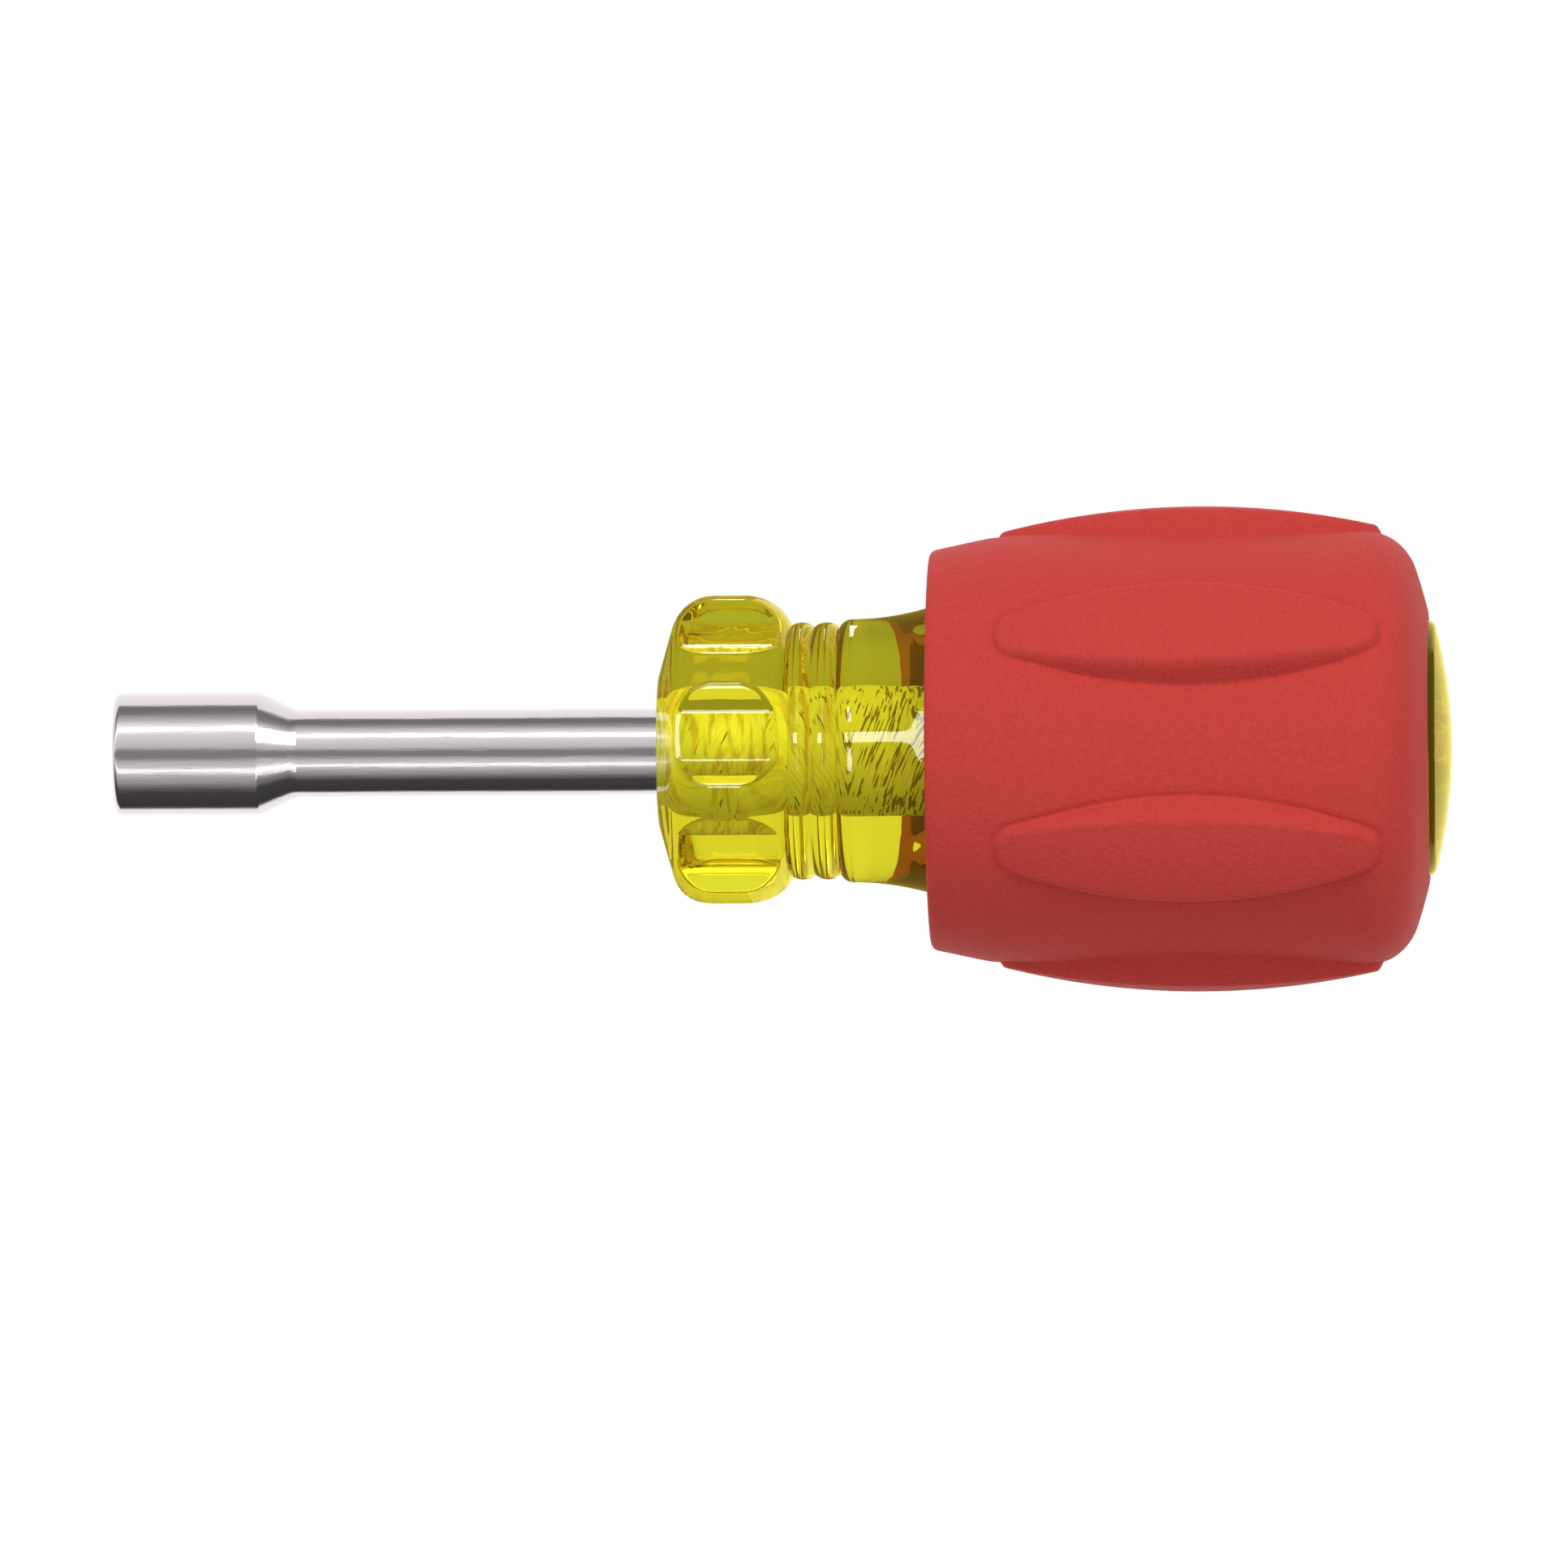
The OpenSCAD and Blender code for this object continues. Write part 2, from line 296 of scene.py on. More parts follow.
class SectorRing:
    """The node tree that repeats a sector round the axis and welds the copies together."""

    ZONE = "zone"

    def __init__(self) -> None:
        """Builds the tree once, with named inputs."""
        self.tree = bpy.data.node_groups.new("sector_ring", "GeometryNodeTree")
        sockets = {
            "Sector": "NodeSocketGeometry",
            "Copies": "NodeSocketInt",
            "First Angle": "NodeSocketFloat",
            "Weld": "NodeSocketFloat",
            "Finish": "NodeSocketMaterial",
            "Lining": "NodeSocketMaterial",
        }
        for name, kind in sockets.items():
            self.tree.interface.new_socket(name=name, in_out="INPUT", socket_type=kind)
        self.tree.interface.new_socket(name="Ring", in_out="OUTPUT", socket_type="NodeSocketGeometry")
        self._wire()

    def _wire(self) -> None:
        """Adds the nodes: copies, their turns, the weld and the finishes."""
        tree = self.tree
        given = add_node(tree, "NodeGroupInput").outputs
        one = add_node(tree, "GeometryNodeGeometryToInstance", {0: given["Sector"]})
        amount = {"Geometry": one, "Amount": given["Copies"]}
        copies = add_node(tree, "GeometryNodeDuplicateElements", amount, domain="INSTANCE").outputs
        pitch = add_node(tree, "ShaderNodeMath", {0: math.tau, 1: given["Copies"]}, operation="DIVIDE")
        turns = {0: copies["Duplicate Index"], 1: pitch, 2: given["First Angle"]}
        turn = add_node(tree, "ShaderNodeMath", turns, operation="MULTIPLY_ADD")
        back = add_node(tree, "ShaderNodeMath", {0: turn, 1: -1.0}, operation="MULTIPLY")
        about_x = add_node(tree, "ShaderNodeCombineXYZ", {"X": back})
        turned = add_node(
            tree,
            "GeometryNodeRotateInstances",
            {"Instances": copies["Geometry"], "Rotation": about_x, "Local Space": False},
        )
        real = add_node(tree, "GeometryNodeRealizeInstances", {0: turned})
        welded = add_node(
            tree, "GeometryNodeMergeByDistance", {"Geometry": real, "Distance": given["Weld"]}
        )
        dressed = add_node(tree, "GeometryNodeSetShadeSmooth", {"Geometry": welded})
        zone = add_node(tree, "GeometryNodeInputNamedAttribute", {"Name": self.ZONE}, data_type="INT")
        for part, finish in zip(Zone, ("Finish", "Lining")):
            pair = {2: zone, 3: part.value}
            here = add_node(tree, "FunctionNodeCompare", pair, data_type="INT", operation="EQUAL")
            dressed = add_node(
                tree,
                "GeometryNodeSetMaterial",
                {"Geometry": dressed, "Selection": here, "Material": given[finish]},
            )
        add_node(tree, "NodeGroupOutput", {"Ring": dressed})

    def mesh(
        self,
        sector: Mesh,
        copies: int,
        first_angle: float,
        finish: Material,
        lining: Material | None = None,
    ) -> Mesh:
        """Runs the tree on a sector and keeps the result as a plain mesh.

        Args:
            sector: the sector, drawn about the side that faces the camera.
            copies: how many sectors make the ring.
            first_angle: where the first one goes, in degrees.
            finish: the material of the outside.
            lining: the material of the faces that line a hole, if it is another.

        Returns:
            The welded ring.
        """
        holder = bpy.data.objects.new("sector_holder", sector)
        bpy.context.scene.collection.objects.link(holder)
        modifier = holder.modifiers.new("ring", "NODES")
        modifier.node_group = self.tree
        values = {
            "Copies": copies,
            "First Angle": math.radians(first_angle),
            "Weld": WELD,
            "Finish": finish,
            "Lining": lining or finish,
        }
        for item in self.tree.interface.items_tree:
            if item.in_out == "INPUT" and item.name in values:
                modifier[item.identifier] = values[item.name]
        graph = bpy.context.evaluated_depsgraph_get()
        ring = bpy.data.meshes.new_from_object(holder.evaluated_get(graph))
        holder.modifiers.remove(modifier)
        bpy.data.objects.remove(holder)
        return ring


def finished_piece(
    name: str, mesh: Mesh, node: str, sharp: float = 38.0
) -> Object:
    """Makes a mesh the piece that stands for a CAD node.

    Args:
        name: the piece's name.
        mesh: its closed mesh, in place.
        node: the node that it replaces.
        sharp: edges that turn by more than this many degrees stay crisp.

    Returns:
        The piece, riding on the tool's one body.
    """
    net = bmesh.new()
    net.from_mesh(mesh)
    bmesh.ops.remove_doubles(net, verts=net.verts, dist=WELD)
    bmesh.ops.dissolve_degenerate(net, edges=net.edges, dist=WELD / 20)
    bmesh.ops.recalc_face_normals(net, faces=net.faces)
    open_edges = sum(1 for edge in net.edges if len(edge.link_faces) != 2)
    net.to_mesh(mesh)
    net.free()
    mesh.set_sharp_from_angle(angle=math.radians(sharp))
    if mesh.attributes.get(SectorRing.ZONE):
        mesh.attributes.remove(mesh.attributes[SectorRing.ZONE])
    piece = bpy.data.objects.new(name, mesh)
    bpy.context.scene.collection.objects.link(piece)
    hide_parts(node)
    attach(piece, BODY)
    if open_edges:
        log.warning("%s has %d open edges", name, open_edges)
    return piece


def new_material(name: str) -> tuple[Material, NodeTree, NodeSocket]:
    """Makes an empty node material.

    Args:
        name: what the material is and how its surface was made.

    Returns:
        The material, its nodes and the piece's own coordinates.
    """
    material = bpy.data.materials.new(name)
    material.use_nodes = True
    tree = material.node_tree
    tree.nodes.clear()
    return material, tree, add_node(tree, "ShaderNodeTexCoord").outputs["Object"]


def grain(
    tree: NodeTree,
    where: NodeSocket | Node,
    widths: tuple[float, float, float],
    detail: float = 2.0,
    fineness: float = 0.5,
) -> Node:
    """Adds a noise whose lumps are as wide as those of a real surface.

    Args:
        tree: the material's nodes.
        where: the coordinates that the lumps follow.
        widths: how wide a lump is along X, Y and Z, in mm.
        detail: how many finer layers lie on the lumps.
        fineness: how strong the finer layers are.

    Returns:
        The noise.
    """
    scale = [1 / (width * MM) for width in widths]
    scaled = add_node(tree, "ShaderNodeMapping", {"Vector": where, "Scale": scale})
    layers = {"Scale": 1.0, "Detail": detail, "Roughness": fineness}
    return add_node(tree, "ShaderNodeTexNoise", {"Vector": scaled, **layers})


def surface(
    tree: NodeTree,
    height: Node,
    depth: float,
    look: dict[str, Any],
    inside: Node | None = None,
) -> None:
    """Ends a material with the bump of its pattern, its shader and the output.

    Args:
        tree: the material's nodes.
        height: the pattern that the bump follows.
        depth: how deep the pattern is, in mm.
        look: the shader's inputs.
        inside: what fills the piece, where light goes through it.
    """
    bump = add_node(tree, "ShaderNodeBump", {"Strength": 1.0, "Distance": depth * MM, "Height": height})
    shader = add_node(tree, "ShaderNodeBsdfPrincipled", {**look, "Normal": bump})
    filling = {"Volume": inside} if inside else {}
    add_node(tree, "ShaderNodeOutputMaterial", {"Surface": shader, **filling})


@dataclass(frozen=True)
class ChromePlate:
    """Bright nickel-chrome plate on a ground and polished steel blade."""

    colour: str = "#CDC6CA"
    roughness: float = 0.03
    line_pitch: float = 0.6
    line_length: float = 6.0
    line_depth: float = 0.014
    line_detail: float = 6.0
    line_fineness: float = 0.62

    def material(self) -> Material:
        """Makes the plate: a clear mirror whose long reflections waver with the grinding under it."""
        material, tree, where = new_material("nickel_chrome_plate_polished")
        # The grinding left long shallow waves along the blade, so the studio's streaks waver
        widths = (self.line_length, self.line_pitch, self.line_pitch)
        waves = grain(tree, where, widths, self.line_detail, self.line_fineness)
        look = {"Base Color": linear(self.colour), "Metallic": 1.0, "Roughness": self.roughness}
        surface(tree, waves, self.line_depth, look)
        return material


@dataclass(frozen=True)
class SocketSteel:
    """Broached steel inside the hexagon, plated thinly and left dull."""

    colour: str = "#8F8B8E"
    roughness: float = 0.38
    mark_pitch: float = 0.25
    mark_length: float = 8.0
    mark_depth: float = 0.02

    def material(self) -> Material:
        """Makes the lining: a grey metal with lengthwise broach marks."""
        material, tree, where = new_material("broached_steel_dull")
        # The broach dragged fine lines along the hole, so its light is grey and streaked
        marks = grain(tree, where, (self.mark_length, self.mark_pitch, self.mark_pitch))
        look = {"Base Color": linear(self.colour), "Metallic": 1.0, "Roughness": self.roughness}
        surface(tree, marks, self.mark_depth, look)
        return material


@dataclass(frozen=True)
class ClearAcetate:
    """Clear yellow cellulose acetate, turned from bar and vapour polished."""

    tint: str = "#EEFF50"
    depth_tint: str = "#F7E789"
    density: float = 100.0
    ior: float = 1.48
    roughness: float = 0.0
    clear: float = 0.97
    shine: float = 0.5
    swell: float = 3.0
    swell_depth: float = 0.02

    def dye(self, tree: NodeTree) -> Node:
        """Adds the dye inside the plastic, which turns long ways through it amber."""
        absorbed = {"Color": linear(self.depth_tint), "Density": self.density}
        return add_node(tree, "ShaderNodeVolumeAbsorption", absorbed)

    def material(self) -> Material:
        """Makes the plastic: glassy, with a slight haze and a yellow that deepens inside."""
        material, tree, where = new_material("cellulose_acetate_vapour_polished")
        # Vapour polish leaves a skin that is not quite flat, with soft swells a few mm wide
        swells = grain(tree, where, (self.swell, self.swell, self.swell))
        look = {
            "Base Color": linear(self.tint),
            "Roughness": self.roughness,
            "IOR": self.ior,
            "Specular IOR Level": self.shine,
            "Transmission Weight": self.clear,
        }
        surface(tree, swells, self.swell_depth, look, self.dye(tree))
        return material


@dataclass(frozen=True)
class DrilledBore:
    """The core's drilled hole, frosted by the drill and scored where the shank was driven in."""

    plastic: ClearAcetate
    frost: str = "#FFFCD8"
    # The rings' amber is painted shade, not a colour of the plastic
    ring: str = "#CF9A1E"
    score: str = "#8F640C"
    roughness: float = 0.5
    score_size: tuple[float, float, float] = (2.4, 1.0, 0.2)
    score_slant: float = 62.0
    score_depth: float = 0.1
    score_from: float = 46.0
    score_full: float = 57.0
    score_few: float = 0.66
    score_many: float = 0.50
    score_edge: float = 0.05
    ring_size: tuple[float, float, float] = (0.45, 3.0, 3.0)
    ring_fade: float = 49.0
    ring_end: float = 51.0
    ring_shade: float = 0.7
    ring_low: float = 0.48
    ring_high: float = 0.64

    def material(self) -> Material:
        """Makes the hole's wall: pale frosted plastic, broken rings of painted amber shade and slanting
        dark scores.
        """
        material, tree, where = new_material("cellulose_acetate_drilled")
        turn = {"Vector": where, "Angle": math.radians(self.score_slant)}
        slant = add_node(tree, "ShaderNodeVectorRotate", turn, rotation_type="Y_AXIS")
        scores = grain(tree, slant, self.score_size)
        along = add_node(tree, "ShaderNodeSeparateXYZ", {0: where}).outputs["X"]
        # The marks crowd towards the grip, where the wings cut in
        span = {"From Min": self.score_from * MM, "From Max": self.score_full * MM}
        share = {"To Min": self.score_few, "To Max": self.score_many}
        crowd = add_node(tree, "ShaderNodeMapRange", {"Value": along, **span, **share})
        over = add_node(tree, "ShaderNodeMath", {0: scores, 1: crowd}, operation="SUBTRACT")
        edge = {"From Min": 0.0, "From Max": self.score_edge}
        scored = add_node(tree, "ShaderNodeMapRange", {"Value": over, **edge})
        # Near its mouth the drill's feed left broken rings; their amber is painted shade, darker than
        # the frost
        span = {"From Min": self.ring_fade * MM, "From Max": self.ring_end * MM}
        share = {"To Min": self.ring_shade, "To Max": 0.0}
        mouth = add_node(tree, "ShaderNodeMapRange", {"Value": along, **span, **share})
        rings = grain(tree, where, self.ring_size)
        edge = {"From Min": self.ring_low, "From Max": self.ring_high, "To Max": mouth}
        shaded_rings = add_node(tree, "ShaderNodeMapRange", {"Value": rings, **edge})
        colour = linear(self.frost)
        # The rings' amber is painted shade; the scores are dark marks in the wall
        for amount, stain_and_shade in ((shaded_rings, self.ring), (scored, self.score)):
            stained = {0: amount, 6: colour, 7: linear(stain_and_shade)}
            colour = add_node(tree, "ShaderNodeMix", stained, data_type="RGBA").outputs[2]
        look = {"Base Color": colour, "Roughness": self.roughness, "IOR": self.plastic.ior}
        surface(tree, scores, self.score_depth, look, self.plastic.dye(tree))
        return material


@dataclass(frozen=True)
class SoftGrip:
    """Soft thermoplastic rubber, moulded against a sand-blasted tool."""

    light: str = "#DA4A44"
    dark: str = "#BA3D38"
    roughness: float = 0.6
    ior: float = 1.5
    shine: float = 0.12
    pebble: float = 0.32
    pebble_depth: float = 0.09
    pebble_detail: float = 3.0
    pebble_fineness: float = 0.6

    def material(self) -> Material:
        """Makes the rubber: matt red with a fine pebble and a speckle of shade in it."""
        material, tree, where = new_material("thermoplastic_rubber_moulded_matt")
        # The blasted tool left a pebble that breaks up the light, so the red is dull and speckled
        widths = (self.pebble, self.pebble, self.pebble)
        pebbles = grain(tree, where, widths, self.pebble_detail, self.pebble_fineness)
        shades = {0: pebbles, 6: linear(self.dark), 7: linear(self.light)}
        speckle = add_node(tree, "ShaderNodeMix", shades, data_type="RGBA").outputs[2]
        look = {
            "Base Color": speckle,
            "Roughness": self.roughness,
            "IOR": self.ior,
            "Specular IOR Level": self.shine,
        }
        surface(tree, pebbles, self.pebble_depth, look)
        return material


@dataclass
class DriverShaft:
    """The one-piece blade: hexagon socket, cone, shank, inner end and swaged wings."""

    hex_af: float = 6.45
    hex_depth: float = 8.0
    lead_depth: float = 0.8
    socket_r: float = 4.304
    socket_length: float = 10.05
    mouth_round: float = 0.45
    heel_round: float = 0.35
    cone_length: float = 2.65
    root_round: float = 0.8
    shank_r: float = 3.05
    end: float = 76.1
    end_chamfer: float = 0.6
    bolt_hole_r: float = 2.2
    bolt_hole_depth: float = 22.0
    drill_angle: float = 118.0
    sides: int = 6
    wing_x: float = 62.1
    wing_length: float = 8.0
    wing_ramp: float = 1.5
    wing_top: float = 4.05
    wing_width: float = 1.8
    wing_sink: float = 0.3

    def outside(self) -> Track:
        """The section of the outside, from the mouth's flat rim to the inner end."""
        fall = math.atan2(self.socket_r - self.shank_r, self.cone_length)
        slope = math.degrees(fall)
        heel_x = self.socket_length - self.heel_round * math.tan(fall / 2)
        root_x = self.socket_length + self.cone_length + self.root_round * math.tan(fall / 2)
        mouth_c = (self.mouth_round, self.socket_r - self.mouth_round)
        return Track(
            [[0, self.hex_af / 2 / math.cos(math.pi / self.sides)]],
            [[0, mouth_c[1]]],
            arc(mouth_c, self.mouth_round, 180, 90),
            [[heel_x, self.socket_r]],
            arc((heel_x, self.socket_r - self.heel_round), self.heel_round, 90, 90 - slope),
            arc((root_x, self.shank_r + self.root_round), self.root_round, 270 - slope, 270),
            [[self.end - self.end_chamfer, self.shank_r]],
            [[self.end, self.shank_r - self.end_chamfer]],
            [[self.end, 0]],
        )

    def sector(self) -> Mesh:
        """Draws one side of the hexagon and what lies behind it."""
        half = math.pi / self.sides
        angle = -half * (1 - 2 * eased(16))
        flat = self.hex_af / 2
        corner = flat / math.cos(half)
        wall = flat / np.cos(angle)
        lead = self.lead_depth * (corner - wall) / (corner - flat)
        point = self.bolt_hole_depth + self.bolt_hole_r / math.tan(math.radians(self.drill_angle / 2))
        level = np.ones_like(angle)
        hole = [
            (point * level, 0 * level),
            (self.bolt_hole_depth * level, self.bolt_hole_r * level),
            (self.hex_depth * level, self.bolt_hole_r * level),
            (self.hex_depth * level, wall),
            (lead, wall),
            (0 * level, corner * level),
        ]
        counts = [2, 2, 2, 3, 4]
        in_station, in_radius = (rows_between(np.array(values), counts) for values in zip(*hole))
        track = self.outside()
        travel = rows_between(np.array(track.marks)[:, None] * level, [1, 2, 8, 4, 5, 10, 6, 2, 3])
        out_station, out_radius = track.at(travel[1:])
        station, radius = np.vstack([in_station, out_station]), np.vstack([in_radius, out_radius])
        return sector_mesh("blade_sector", station, radius, angle[None, :], sum(counts[:-1]))

    def wings(self) -> Mesh:
        """The two swaged wings as one bar through the shank."""
        ends = [self.wing_x, self.wing_x + self.wing_length]
        half, foot = self.wing_width / 2, self.shank_r - self.wing_sink
        outline = [
            (ends[0], foot),
            (ends[0] + self.wing_ramp, self.wing_top),
            (ends[1] - self.wing_ramp, self.wing_top),
            (ends[1], foot),
        ]
        ring = outline + [(x, -z) for x, z in reversed(outline)]
        places = [(x * MM, side * half * MM, z * MM) for side in (-1, 1) for x, z in ring]
        count = len(ring)
        faces = [list(range(count)), list(range(2 * count - 1, count - 1, -1))]
        faces += [[i, i + count, (i + 1) % count + count, (i + 1) % count] for i in range(count)]
        mesh = bpy.data.meshes.new("wings")
        mesh.from_pydata(places, [], faces)
        return mesh

    def build(
        self, ring: SectorRing, finish: Material, lining: Material
    ) -> Object:
        """Builds the blade and puts it in place of its node.

        Args:
            ring: the tree that repeats the sector.
            finish: the plate.
            lining: the steel inside the socket.

        Returns:
            The blade.
        """
        mesh = ring.mesh(self.sector(), self.sides, 0.0, finish, lining)
        net = bmesh.new()
        net.from_mesh(mesh)
        net.from_mesh(self.wings())
        net.to_mesh(mesh)
        net.free()
        return finished_piece("chromed_blade", mesh, "driver_shaft", 30.0)


@dataclass
class HandleCore:
    """The clear core: fluted bar with a collar, two beads, a flared neck and a domed butt."""

    bar_r: float = 11.5
    front: float = 38.1
    face_r: float = 5.3
    bore_r: float = 3.08
    bore_end: float = 76.13
    nose_angle: float = 74.0
    nose_round: float = 3.0
    collar_r: float = 10.9
    collar_end: float = 47.5
    collar_round: float = 3.6
    groove_r: float = 8.6
    bead_r: float = 9.0
    bead_round: float = 1.24
    bead_x: float = 48.12
    bead_pitch: float = 1.73
    neck_r: float = 9.2
    lip_round: float = 0.9
    flare_round: float = 18.7
    shoulder_round: float = 3.4
    butt_r: float = 8.95
    butt_root: float = 90.85
    butt_dome: float = 34.0
    butt_round: float = 0.7
    butt_x: float = 93.5
    flute_count: int = 7
    flute_r: float = 9.74
    flute_floor: float = 3.3
    flute_slope: float = 17.0
    flute_turn: float = 6.2
    edge_blend: float = 0.12

    # The marks of the section between which the flutes cross it, in pairs that rise or fall steadily
    NOSE = (4, 5)
    COLLAR_REAR = (6, 7)
    FLARE = (10, 11)
    SHOULDER = (12, 13)

    def outside(self) -> Track:
        """The section from the bottom of the hole, out round the front, and along to the butt."""
        slope = math.radians(self.nose_angle)
        tangent = self.nose_round * math.tan(slope / 2)
        nose_x = self.front + (self.collar_r - self.face_r) / math.tan(slope)
        nose_c = (nose_x + tangent, self.collar_r - self.nose_round)
        nose_foot = [nose_x - tangent * math.cos(slope), self.collar_r - tangent * math.sin(slope)]
        drop = self.collar_round - (self.collar_r - self.groove_r)
        crown_x = self.collar_end - math.sqrt(self.collar_round**2 - drop**2)
        rear_c = (crown_x, self.collar_r - self.collar_round)
        beads = [(self.bead_x + i * self.bead_pitch, self.bead_r - self.bead_round) for i in (0, 1)]
        lip_x = self.bead_x + 1.5 * self.bead_pitch + self.lip_round
        lip_c = (lip_x, self.neck_r - self.lip_round)
        bead_rings = [(bead, self.bead_round) for bead in beads]
        rings = [(rear_c, self.collar_round), *bead_rings, (lip_c, self.lip_round)]
        valleys = [crossing(*ring, *after) for ring, after in zip(rings, rings[1:])]
        flare_c = (lip_x, self.neck_r + self.flare_round)
        flare_end = math.sqrt(self.flare_round**2 - (flare_c[1] - self.bar_r) ** 2)
        flare_top = heading(flare_c, (lip_x + flare_end, self.bar_r)) % 360
        rise = self.shoulder_round - (self.bar_r - self.butt_r)
        shoulder_x = self.butt_root - math.sqrt(self.shoulder_round**2 - rise**2)
        shoulder_c = (shoulder_x, self.bar_r - self.shoulder_round)
        shoulder_end = heading(shoulder_c, (self.butt_root, self.butt_r))
        dome_c = (self.butt_x - self.butt_dome, 0.0)
        edge_r = self.butt_r - self.butt_round
        edge_c = (dome_c[0] + math.sqrt((self.butt_dome - self.butt_round) ** 2 - edge_r**2), edge_r)
        edge_top = heading(dome_c, edge_c)
        return Track(
            [[self.bore_end, 0]],
            [[self.bore_end, self.bore_r]],
            [[self.front, self.bore_r]],
            [[self.front, self.face_r]],
            np.vstack([nose_foot, arc(nose_c, self.nose_round, 90 + self.nose_angle, 90)]),
            [[crown_x, self.collar_r]],
            arc(rear_c, self.collar_round, 90, heading(rear_c, valleys[0])),
            *(
                arc(bead, self.bead_round, heading(bead, valley), heading(bead, after))
                for bead, valley, after in zip(beads, valleys, valleys[1:])
            ),
            arc(lip_c, self.lip_round, heading(lip_c, valleys[-1]), 90),
            arc(flare_c, self.flare_round, 270, flare_top),
            [[shoulder_x, self.bar_r]],
            arc(shoulder_c, self.shoulder_round, 90, shoulder_end),
            [[edge_c[0], self.butt_r]],
            arc(edge_c, self.butt_round, 90, edge_top),
            arc(dome_c, self.butt_dome, edge_top, 0),
        )

    def flute(self, angle: np.ndarray) -> np.ndarray:
        """How far out the flutes leave the bar, at angles from a flute's middle."""
        slope = math.tan(math.radians(self.flute_slope))
        side = self.flute_r - self.flute_floor / 2 * slope
        off = np.abs(angle)
        walls = side / (np.cos(off) - slope * np.sin(off))
        return soft_max(self.flute_r / np.cos(off), walls, self.edge_blend / 2)

    def side_angle(self, radius: float) -> float:
        """The angle from a flute's middle at which its side reaches a radius."""
        slope = math.radians(self.flute_slope)
        side = self.flute_r - self.flute_floor / 2 * math.tan(slope)
        return math.acos(side / radius * math.cos(slope)) - slope

    def columns(self) -> np.ndarray:
        """Angles of the sector's columns, crowded at the edges of the flute's floor and sides."""
        edges = [
            0.0,
            math.atan2(self.flute_floor / 2, self.flute_r),
            self.side_angle(self.collar_r),
            self.side_angle(self.bar_r),
            math.pi / self.flute_count,
        ]
        right = rows_between(np.array(edges)[:, None], [6, 12, 6, 4])[:, 0]
        return np.concatenate([-right[:0:-1], right])

    def sector(self) -> Mesh:
        """Draws one flute and half of the ridge on each side of it."""
        track = self.outside()
        angle = self.columns()
        flute = self.flute(angle)
        at_collar, at_bar = np.minimum(flute, self.collar_r), np.minimum(flute, self.bar_r)
        marks = [mark * np.ones_like(angle) for mark in track.marks]
        lines = [
            *marks[1:5],
            track.where(at_collar, *self.NOSE),
            track.where(at_collar, *self.COLLAR_REAR),
            *marks[7:11],
            track.where(at_bar, *self.FLARE),
            track.where(at_bar, *self.SHOULDER),
            *marks[13:],
        ]
        bore, front_face = [3, 24], [3]
        counts = bore + front_face + [16, 16, 14, 14, 14, 8, 14, 10, 10, 4, 6, 14]
        travel = rows_between(np.array(lines), counts)
        station, radius = track.at(travel)
        fluted = np.arange(len(travel))[:, None] > sum(bore + front_face)
        radius = np.where(fluted, soft_min(radius, flute[None, :], self.edge_blend), radius)
        return sector_mesh("core_sector", station, radius, angle[None, :], sum(bore))

    def build(
        self, ring: SectorRing, finish: Material, lining: Material
    ) -> Object:
        """Builds the core and puts it in place of its node.

        Args:
            ring: the tree that repeats the sector.
            finish: the clear plastic.
            lining: the drilled hole's wall.

        Returns:
            The core.
        """
        mesh = ring.mesh(self.sector(), self.flute_count, self.flute_turn, finish, lining)
        return finished_piece("fluted_core", mesh, "handle_core")


